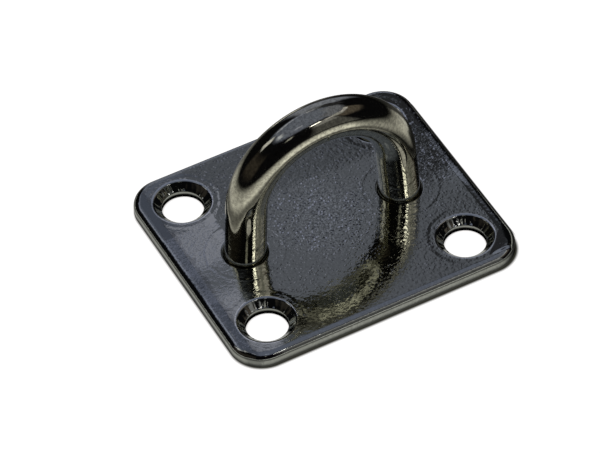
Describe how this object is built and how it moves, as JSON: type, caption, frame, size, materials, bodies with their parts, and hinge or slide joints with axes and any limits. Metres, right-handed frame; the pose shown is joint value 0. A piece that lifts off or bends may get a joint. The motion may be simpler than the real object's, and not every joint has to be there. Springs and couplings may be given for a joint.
{
  "type": "eye plate",
  "caption": "Small steel pad eye: a rounded rectangular plate with countersunk screw holes at its corners and a bent round rod welded through it as an upright eye.",
  "frame": {"origin": "middle of the plate's underside, where it lies on the surface it is screwed to", "axes": "+X along the plate's long side and in the plane of the bow, +Z out of the surface through the top of the bow"},
  "size_m": [0.0376, 0.0322, 0.0206],
  "materials": {
    "plate_plating": "polished steel sheet under a black nickel plating, faintly pitted",
    "bow_plating": "mirror-polished steel rod under a black nickel plating",
    "weld_plating": "fine weld ripples under a black nickel plating"
  },
  "bodies": {
    "root": {"base_plate": "plate_plating", "eye_bow": "bow_plating", "foot_bead_left": "weld_plating", "foot_bead_right": "weld_plating", "root_weld_left": "weld_plating", "root_weld_right": "weld_plating"}
  },
  "joints": []
}
